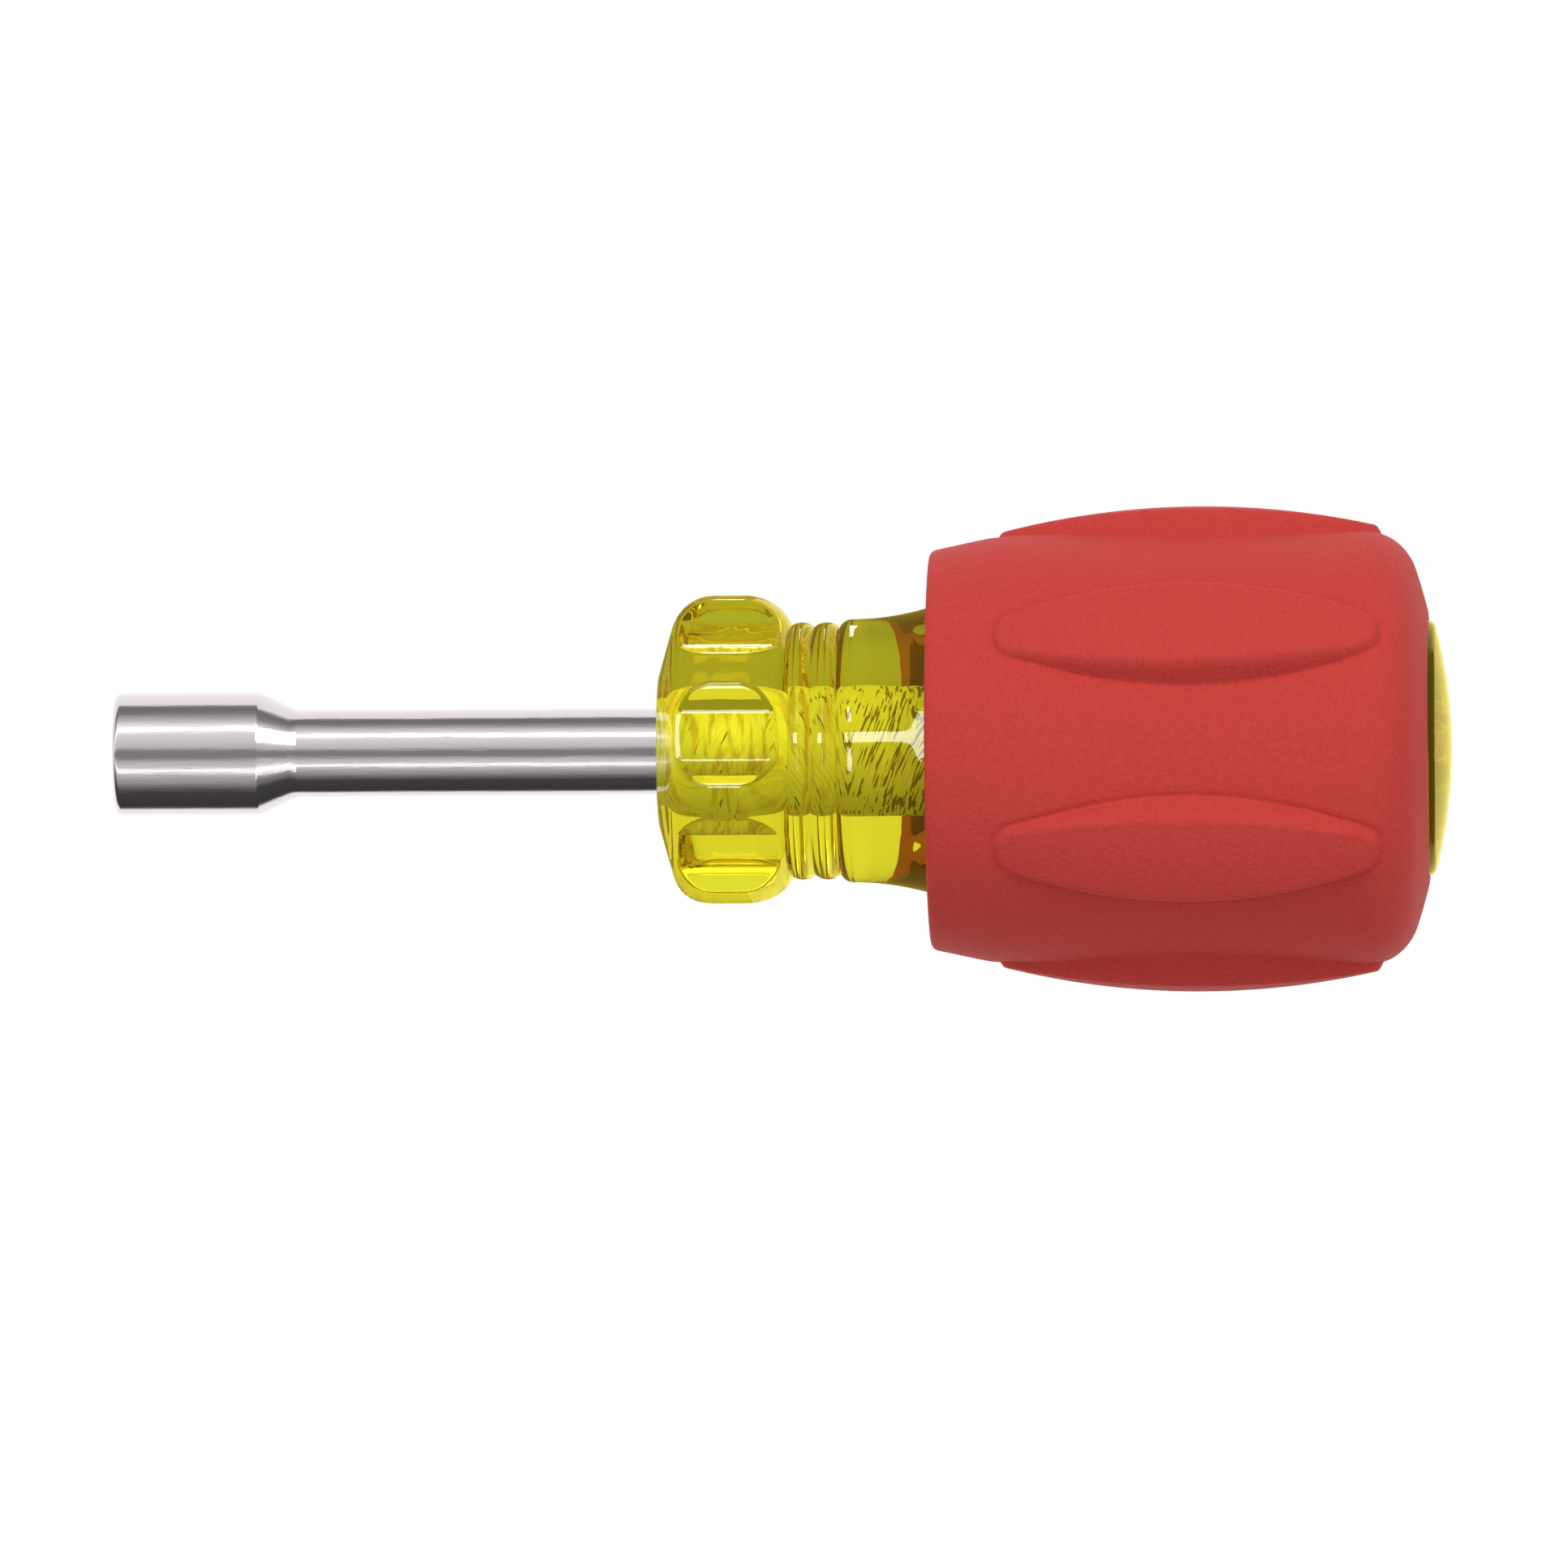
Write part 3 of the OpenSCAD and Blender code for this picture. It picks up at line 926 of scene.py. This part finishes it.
@dataclass
class GripSleeve:
    """The soft sleeve: a barrel with six raised pads, whose inside follows the fluted core."""

    core: HandleCore
    play: float = 0.05
    front: float = 57.1
    rear: float = 92.05
    face_r: float = 12.0
    barrel_r: float = 15.25
    taper_drop: float = 1.33
    taper_length: float = 6.15
    taper_round: float = 30.0
    front_round: float = 0.5
    rear_dome: float = 40.0
    rear_round: float = 4.0
    lip_round: float = 0.35
    pad_count: int = 6
    pad_turn: float = 32.2
    pad_r: float = 16.96
    pad_crown: float = 56.0
    crest_x: float = 76.0
    pad_x: float = 75.3
    pad_length: float = 26.6
    pad_width: float = 7.9
    pad_side: float = 37.0
    pad_end: float = 4.6
    pad_flank: float = 18.0
    pad_corner: float = 1.0
    pad_edge: float = 0.8
    pad_foot: float = 0.1
    groove_depth: float = 0.14
    groove_width: float = 0.3
    inside_reach: float = 0.7
    inside_rim: float = 0.3

    # How far the grid's close lines lie inside and outside the pad's flanks and ends, where its
    # sides and ends stop bending them, and how much they leave free at the sleeve's rear
    flank_in: float = 1.4
    flank_out: float = 1.0
    end_in: float = 1.5
    end_out: float = 1.0
    side_stop: float = 1.6
    end_stop: float = 3.4
    rear_free: float = 1.0

    # The shares of the pad's half length over which its ends come to bend the rows, and the lengths
    # over which the rows straighten again towards the taper and the rear
    bend_from: float = 0.55
    bend_over: float = 0.35
    front_ease: float = 3.0
    rear_ease: float = 2.0
    rear_straight: float = 1.2

    # Between which distances from the axis a pad's leaning edge is sought, and in how many halvings
    SEARCH = (6.0, 24.0)
    HALVINGS = 40

    # The marks between which the section carries the pads: the taper's start and the rear rounding's end
    BARREL = (3, 5)

    def outside(self) -> Track:
        """The section from the middle of the front face, over the barrel, to the rear opening."""
        slope = math.atan2(self.taper_drop, self.taper_length)
        hole_r = self.core.butt_r + self.play
        rear_c = (self.rear - math.sqrt(self.rear_dome**2 - hole_r**2), 0.0)
        rise = self.front_round * (math.tan(slope) - 1 / math.cos(slope))
        front_c = (self.front + self.front_round, self.barrel_r - self.taper_drop + rise)
        taper_x = self.front + self.taper_length + self.taper_round * math.tan(slope / 2)
        taper_c = (taper_x, self.barrel_r - self.taper_round)
        edge_r, lip_r = self.barrel_r - self.rear_round, hole_r + self.lip_round
        edge_run = math.sqrt((self.rear_dome - self.rear_round) ** 2 - edge_r**2)
        lip_run = math.sqrt((self.rear_dome - self.lip_round) ** 2 - lip_r**2)
        edge_c, lip_c = (rear_c[0] + edge_run, edge_r), (rear_c[0] + lip_run, lip_r)
        edge_end, lip_start = heading(rear_c, edge_c), heading(rear_c, lip_c)
        taper_turn = 90 + math.degrees(slope)
        return Track(
            [[self.front, self.face_r]],
            [[self.front, front_c[1]]],
            arc(front_c, self.front_round, 180, taper_turn),
            arc(taper_c, self.taper_round, taper_turn, 90),
            arc(edge_c, self.rear_round, 90, edge_end),
            arc(rear_c, self.rear_dome, edge_end, lip_start),
            arc(lip_c, self.lip_round, lip_start, -90),
        )

    def pad_gap(self, station: np.ndarray, radius: np.ndarray, angle: np.ndarray) -> np.ndarray:
        """How far points lie outside a pad's leaning edges.

        Args:
            station: places along the axis.
            radius: distances from the axis.
            angle: angles from the pad's middle.

        Returns:
            Distances, below 0 inside the pad.
        """
        half_width, half_length = self.pad_width / 2, self.pad_length / 2
        side_foot = math.sqrt(self.barrel_r**2 - half_width**2)
        lean = math.tan(math.radians(self.pad_flank))
        run = np.abs(station - self.pad_x)
        across, up = radius * np.abs(np.sin(angle)), radius * np.cos(angle)
        side = np.hypot(run, across + self.pad_side - half_width) - self.pad_side
        reach = half_length - self.pad_end + np.sqrt(np.maximum(self.pad_end**2 - across**2, 0))
        end = run - reach - (self.barrel_r - up) * lean
        return soft_max(side - (side_foot - up) * lean, end, self.pad_corner)

    def pad_top(self, station: np.ndarray, angle: np.ndarray) -> np.ndarray:
        """How far out a pad reaches, under its crown and inside its leaning edges.

        Args:
            station: places along the axis.
            angle: angles from the pad's middle.

        Returns:
            Distances from the axis.
        """
        arch = np.maximum(self.pad_crown**2 - (station - self.crest_x) ** 2, 1)
        crown = self.pad_r - self.pad_crown + np.sqrt(arch)
        low, high = (np.full(np.broadcast(station, angle).shape, limit) for limit in self.SEARCH)
        for _ in range(self.HALVINGS):
            middle = (low + high) / 2
            inside = self.pad_gap(station, middle, angle) < 0
            low, high = np.where(inside, middle, low), np.where(inside, high, middle)
        return soft_min(crown, low, self.pad_edge)

    def grid_stations(self, first: float) -> np.ndarray:
        """Stations of the barrel's rows, close together at the pad's ends."""
        ends = [self.pad_x - self.pad_length / 2, self.pad_x + self.pad_length / 2]
        front = [first, ends[0] - self.end_out, ends[0] + self.end_in]
        breaks = front + [ends[1] - self.end_in, ends[1] + self.end_out]
        spans = [
            np.linspace(start, end, count + 1)[:-1]
            for start, end, count in zip(breaks, breaks[1:], (9, 23, 43, 23))
        ]
        stations = np.append(np.concatenate(spans), breaks[-1])
        return stations[stations < self.rear - self.rear_free]

    def grid_angles(self, station: np.ndarray, radius: np.ndarray) -> np.ndarray:
        """Angles of the barrel's columns, which follow the pad's flanks.

        Args:
            station: the rows' stations.
            radius: the barrel's radius there.

        Returns:
            One row of angles for each station.
        """
        stop = self.pad_length / 2 - self.side_stop
        run = np.clip(station - self.pad_x, -stop, stop)
        width = self.pad_width / 2 - self.pad_side + np.sqrt(self.pad_side**2 - run**2)
        inner, outer = (
            np.arcsin((width + away) / radius)[:, None] for away in (-self.flank_in, self.flank_out)
        )
        breaks = [0 * inner, inner, outer, np.full_like(inner, math.pi / self.pad_count)]
        spans = [
            start + (end - start) * np.linspace(0, 1, count + 1)[1:]
            for start, end, count in zip(breaks, breaks[1:], (8, 22, 8))
        ]
        right = np.hstack(spans)
        return np.hstack([-right[:, ::-1], breaks[0], right])

    def bend(self, station: np.ndarray, first: float) -> np.ndarray:
        """How much rows bend with the pad's rounded ends: not at its middle or at the sleeve's edges."""
        run = (station - self.pad_x) / (self.pad_length / 2)
        share = np.clip((np.abs(run) - self.bend_from) / self.bend_over, 0, 1)
        share *= np.clip((station - first) / self.front_ease, 0, 1)
        rear_room = self.rear - self.rear_straight - station
        share *= np.where(run > 0, np.clip(rear_room / self.rear_ease, 0, 1), 1)
        return np.sign(run) * share * share * (3 - 2 * share)

    def outer_sector(self) -> Mesh:
        """Draws one pad and the barrel on each side of it, with the grid along the pad's outline."""
        track = self.outside()
        start, stop = (track.marks[i] for i in self.BARREL)
        first = np.interp(start, track.travel, track.station)
        base = self.grid_stations(first)
        radius = track.at(track.beside(base))[1]
        angle = self.grid_angles(base, radius)
        across = np.clip(np.abs(radius[:, None] * np.sin(angle)), 0, self.end_stop)
        pull = self.pad_end - np.sqrt(self.pad_end**2 - across**2)
        travel = track.beside(base[:, None] - self.bend(base, first)[:, None] * pull)
        lead = np.linspace(0, start, 9)[:-1, None] * np.ones_like(travel[:1])
        tail = travel[-1] + (track.marks[-1] - travel[-1]) * np.linspace(0, 1, 30)[1:, None]
        travel = np.vstack([lead, travel, tail])
        angle = np.pad(angle, ((len(lead), len(tail)), (0, 0)), "edge")
        station, radius = track.at(travel)
        gap = self.pad_gap(station, radius, angle)
        groove = self.groove_depth * np.exp(-((gap / self.groove_width) ** 2))
        padded = soft_max(radius - groove, self.pad_top(station, angle), self.pad_foot)
        radius = np.where((travel > start) & (travel < stop), padded, radius)
        return sector_mesh("sleeve_sector", station, radius, angle)

    def inner_sector(self) -> Mesh:
        """Draws the inside over one flute of the core, from the rear opening to the front face."""
        core = self.core
        track = core.outside()
        angle = core.columns()
        flute = core.flute(angle)
        level = np.ones_like(angle)
        flare = slice(*np.searchsorted(track.travel, [track.marks[i] for i in core.FLARE]))
        opening = np.interp(self.front, track.station[flare], track.travel[flare])
        rear = track.marks[core.SHOULDER[1]]
        at_bar = np.minimum(flute, core.bar_r)
        lines = [
            (rear + self.inside_reach) * level,
            rear * level,
            track.where(at_bar, *core.SHOULDER),
            np.maximum(track.where(at_bar, *core.FLARE), opening + self.inside_rim),
            opening * level,
        ]
        station, radius = track.at(rows_between(np.array(lines), [2, 10, 12, 10]))
        radius = soft_min(radius, np.broadcast_to(flute[None, :], radius.shape), core.edge_blend)
        return sector_mesh("sleeve_inside_sector", station, radius + self.play, angle[None, :])

    def build(self, ring: SectorRing, finish: Material) -> Object:
        """Builds the sleeve and puts it in place of its node.

        Args:
            ring: the tree that repeats the sectors.
            finish: the rubber.

        Returns:
            The sleeve.
        """
        outer = ring.mesh(self.outer_sector(), self.pad_count, self.pad_turn, finish)
        inner = ring.mesh(self.inner_sector(), self.core.flute_count, self.core.flute_turn, finish)
        net = bmesh.new()
        net.from_mesh(outer)
        outer_count = len(net.verts)
        net.from_mesh(inner)
        net.verts.index_update()
        rims: dict[tuple[bool, bool], list[BMVert]] = {}
        for vert in net.verts:
            if vert.is_boundary:
                key = (vert.index < outer_count, vert.co.x > self.pad_x * MM)
                rims.setdefault(key, []).append(vert)
        self.zip_rims(net, rims[False, False], rims[True, False])
        self.zip_rims(net, rims[True, True], rims[False, True])
        mesh = bpy.data.meshes.new("sleeve")
        net.to_mesh(mesh)
        net.free()
        mesh.materials.append(finish)
        return finished_piece("padded_sleeve", mesh, "grip_sleeve", 50.0)

    @staticmethod
    def zip_rims(
        net: BMesh, start: list[BMVert], end: list[BMVert]
    ) -> None:
        """Joins two rims round the axis by a band of triangles.

        Args:
            net: the mesh that holds both rims.
            start: vertices of the rim that the band starts from.
            end: vertices of the rim that it runs to.
        """

        def turn(vert: BMVert) -> float:
            """The vertex's angle round the axis."""
            return math.atan2(vert.co.z, -vert.co.y)

        a, b = sorted(start, key=turn), sorted(end, key=turn)
        i = j = 0
        while i < len(a) or j < len(b):
            next_a = turn(a[i + 1]) if i + 1 < len(a) else turn(a[0]) + math.tau
            next_b = turn(b[j + 1]) if j + 1 < len(b) else turn(b[0]) + math.tau
            here_a, here_b = a[i % len(a)], b[j % len(b)]
            if j >= len(b) or (i < len(a) and next_a < next_b):
                i += 1
                net.faces.new([here_a, here_b, a[i % len(a)]]).smooth = True
            else:
                j += 1
                net.faces.new([here_a, here_b, b[j % len(b)]]).smooth = True


@dataclass(frozen=True)
class Window:
    """A bright rectangle that a polished surface mirrors, with its place and size in degrees."""

    up: float
    along: float
    half_up: float
    half_along: float
    colour: str
    glow: float


@dataclass(frozen=True)
class Lamp:
    """A soft lamp: degrees up and round to the butt, the station it lights, size in m and power in W."""

    name: str
    lift: float
    swing: float
    along: float
    size: tuple[float, float]
    power: float

    def hang(self, distance: float) -> None:
        """Hangs the lamp so far from the axis, in m, where no surface mirrors it."""
        lamp = bpy.data.lights.new(self.name, "AREA")
        lamp.shape = "RECTANGLE"
        lamp.size, lamp.size_y = self.size
        lamp.energy = self.power
        holder = bpy.data.objects.new(self.name, lamp)
        bpy.context.scene.collection.objects.link(holder)
        lift = math.radians(self.lift)
        turn = Matrix.Rotation(math.radians(self.swing), 3, "Z")
        middle = Vector((self.along * MM, 0, 0))
        holder.location = middle + distance * (turn @ Vector((0, -math.cos(lift), math.sin(lift))))
        holder.rotation_euler = (middle - holder.location).to_track_quat("-Z", "Y").to_euler()
        holder.visible_glossy = False


@dataclass
class Studio:
    """A pale floor, soft lamps, a world with a white sweep behind the tool, and the camera."""

    distance: float = 1500.0
    swing: float = 2.5
    roll: float = -0.3
    aim: tuple[float, float, float] = (46.8, 0.0, -2.3)
    field_px: float = 17.61
    floor_z: float = -70.0
    floor_half: float = 4000.0
    paper: str = "#DADADA"
    paper_glow: float = 0.75
    paper_tooth: float = 2.0
    paper_depth: float = 0.02
    lamp_distance: float = 0.6
    room_light: float = 0.42
    inside_light: float = 1.6
    skin_room: str = "#B39A3C"

    LAMPS = (
        Lamp("key_soft_box", 43.5, 0.0, 20.0, (0.6, 0.24), 2.0),
        Lamp("low_strip", -36.0, 0.0, -20.0, (0.26, 0.125), 0.21),
        Lamp("butt_soft_box", 10.0, 75.0, 90.0, (0.3, 0.3), 0.25),
    )

    # The pale room and the dark flags that the chrome mirrors: degrees round the blade's axis, up from
    # the camera's side, and the shade there
    SURROUND = (
        ((-180, 1.0), (-160, 1.3), (-129, 1.3), (-121, 0.10), (-112, 0.06), (-76, 0.08))
        + ((-64, 0.26), (-45, 0.62), (-37, 0.85), (-34, 1.7), (-29, 1.7), (-26, 1.0))
        + ((-14, 0.70), (-7, 0.33), (6, 0.33), (14, 0.80), (33, 1.05), (41, 1.2))
        + ((44, 2.2), (50, 2.2), (54, 1.3), (65, 0.9), (76, 0.50), (84, 0.30))
        + ((97, 0.24), (104, 0.40), (107, 1.2), (150, 1.3), (180, 1.0))
    )

    # White cards beside the blade, which its cone and its rounded edges mirror
    CARDS = (
        Window(44.0, 34.0, 18.0, 22.0, "#FFFFFF", 1.2),
        Window(-42.0, 34.0, 8.0, 22.0, "#FFFFFF", 0.9),
    )

    # What the clear plastic's skin mirrors: soft boxes in front and a yellow card behind the butt
    WINDOWS = (
        Window(12.0, -17.0, 5.0, 13.0, "#FFFFFF", 10.0),
        Window(-8.0, -2.5, 10.0, 1.5, "#FFFFFF", 10.0),
        Window(32.0, -2.5, 7.0, 1.5, "#FFFFFF", 10.0),
        Window(132.0, -2.5, 12.0, 0.8, "#FFFFFF", 6.0),
        Window(145.0, 20.0, 35.0, 18.0, "#CBC873", 1.45),
        Window(-145.0, 20.0, 35.0, 18.0, "#CBC873", 1.45),
    )

    def build(self) -> None:
        """Sets up the floor, the lamps, the world and the camera."""
        self.floor()
        for lamp in self.LAMPS:
            lamp.hang(self.lamp_distance)
        self.world()
        self.camera()
        scene = bpy.context.scene
        scene.view_settings.view_transform = "Standard"
        # Light runs back and forth inside the clear core before it comes out
        scene.cycles.max_bounces = 32
        scene.cycles.glossy_bounces = 24
        scene.cycles.transmission_bounces = 24

    def floor(self) -> None:
        """Lays the floor, a large sheet of white paper that takes the tool's shadow."""
        material, tree, where = new_material("white_paper_sweep")
        # Coated paper has a faint tooth, drawn here as coarse as it needs to show
        tooth = grain(tree, where, (self.paper_tooth, self.paper_tooth, self.paper_tooth))
        bump = add_node(tree, "ShaderNodeBump", {"Distance": self.paper_depth * MM, "Height": tooth})
        paper = add_node(tree, "ShaderNodeBsdfDiffuse", {"Color": linear(self.paper), "Normal": bump})
        path = add_node(tree, "ShaderNodeLightPath").outputs
        shown = {0: path["Is Camera Ray"], 1: self.paper_glow}
        glow = add_node(tree, "ShaderNodeMath", shown, operation="MULTIPLY")
        white = add_node(tree, "ShaderNodeEmission", {"Strength": glow})
        both = add_node(tree, "ShaderNodeAddShader", {0: paper, 1: white})
        add_node(tree, "ShaderNodeOutputMaterial", {"Surface": both})
        half, z = self.floor_half * MM, self.floor_z * MM
        corners = [(-half, -half, z), (half, -half, z), (half, half, z), (-half, half, z)]
        mesh = bpy.data.meshes.new("floor")
        mesh.from_pydata(corners, [], [[0, 1, 2, 3]])
        mesh.materials.append(material)
        floor = bpy.data.objects.new("floor", mesh)
        bpy.context.scene.collection.objects.link(floor)
        floor.visible_glossy = False

    def world(self) -> None:
        """Surrounds the tool with a white sweep behind it, dark flags beside it and a grey room."""
        world = bpy.data.worlds.new("studio")
        bpy.context.scene.world = world
        world.use_nodes = True
        tree = world.node_tree
        tree.nodes.clear()
        way = add_node(tree, "ShaderNodeTexCoord").outputs["Generated"]
        parts = add_node(tree, "ShaderNodeSeparateXYZ", {0: way}).outputs
        front = add_node(tree, "ShaderNodeMath", {0: parts["Y"], 1: -1.0}, operation="MULTIPLY")
        lift = add_node(tree, "ShaderNodeMath", {0: parts["Z"], 1: front}, operation="ARCTAN2")
        side = add_node(tree, "ShaderNodeMath", {0: parts["X"]}, operation="ARCSINE")
        circle = {"Value": lift, "From Min": -math.pi, "From Max": math.pi}
        share = add_node(tree, "ShaderNodeMapRange", circle)
        ramp = add_node(tree, "ShaderNodeValToRGB", {0: share})
        elements = ramp.color_ramp.elements
        while len(elements) < len(self.SURROUND):
            elements.new(0.5)
        for element, (degrees, shade) in zip(elements, self.SURROUND):
            element.position = (degrees + 180) / 360
            element.color = grey(shade)
        path = add_node(tree, "ShaderNodeLightPath").outputs
        # The lamps hardly reach what scatters inside the plastic, so it gets their share from here
        scattered = {0: path["Diffuse Depth"], 6: grey(1.0), 7: grey(self.inside_light)}
        through = add_node(tree, "ShaderNodeMix", scattered, data_type="RGBA").outputs[2]
        shown = self.with_windows(tree, lift, side, ramp.outputs[0], self.CARDS)
        # The clear plastic's skin is a perfect mirror: it shows a warm dim room with bright windows
        skin = self.with_windows(tree, lift, side, linear(self.skin_room), self.WINDOWS)
        for ray, light in (
            ("Is Singular Ray", skin),
            ("Is Transmission Ray", through),
            ("Is Diffuse Ray", grey(self.room_light)),
            ("Is Camera Ray", grey(1.0)),
        ):
            either = {0: path[ray], 6: shown, 7: light}
            shown = add_node(tree, "ShaderNodeMix", either, data_type="RGBA").outputs[2]
        sky = add_node(tree, "ShaderNodeBackground", {"Color": shown})
        add_node(tree, "ShaderNodeOutputWorld", {"Surface": sky})

    @staticmethod
    def with_windows(
        tree: NodeTree,
        lift: Node,
        side: Node,
        room: Any,
        windows: tuple[Window, ...],
    ) -> NodeSocket:
        """Adds bright rectangles to what a polished surface mirrors.

        Args:
            tree: the world's nodes.
            lift: the node with the angle up from the camera's side.
            side: the node with the angle towards the butt.
            room: the colour, or its socket, of the room without the rectangles.
            windows: the rectangles.

        Returns:
            The socket of the colour with the rectangles.
        """
        for window in windows:
            within = [
                add_node(
                    tree,
                    "ShaderNodeMath",
                    {0: angle, 1: math.radians(middle), 2: math.radians(half)},
                    operation="COMPARE",
                )
                for angle, middle, half in (
                    (lift, window.up, window.half_up),
                    (side, window.along, window.half_along),
                )
            ]
            both = add_node(tree, "ShaderNodeMath", dict(enumerate(within)), operation="MULTIPLY")
            light = tuple(window.glow * part for part in linear(window.colour))
            lit = {0: both, 6: room, 7: light}
            room = add_node(tree, "ShaderNodeMix", lit, data_type="RGBA", blend_type="ADD").outputs[2]
        return room

    def camera(self) -> None:
        """Stands the camera level beside the tool, a little towards the butt."""
        camera = bpy.data.cameras.new("camera")
        holder = bpy.data.objects.new("camera", camera)
        bpy.context.scene.collection.objects.link(holder)
        swing = math.radians(self.swing)
        aim = Vector(self.aim) * MM
        holder.location = aim + self.distance * MM * Vector((math.sin(swing), -math.cos(swing), 0))
        look = (aim - holder.location).to_track_quat("-Z", "Y").to_matrix().to_4x4()
        turn = Matrix.Rotation(math.radians(self.roll), 4, "Z")
        holder.rotation_euler = (look @ turn).to_euler()
        camera.sensor_width = SENSOR
        camera.lens = SENSOR * self.distance * self.field_px / PHOTO_PX
        bpy.context.scene.camera = holder


def main() -> None:
    """Builds the pieces in order, then the studio, and notes the sizes."""
    logging.basicConfig(level=logging.INFO, format="%(message)s")
    ring = SectorRing()
    blade = DriverShaft().build(ring, ChromePlate().material(), SocketSteel().material())
    core, acetate = HandleCore(), ClearAcetate()
    handle = core.build(ring, acetate.material(), DrilledBore(acetate).material())
    sleeve = GripSleeve(core).build(ring, SoftGrip().material())
    for piece in (blade, handle, sleeve):
        log.info("%s: %d faces", piece.name, len(piece.data.polygons))
    Studio().build()


if __name__ == "__main__":
    main()
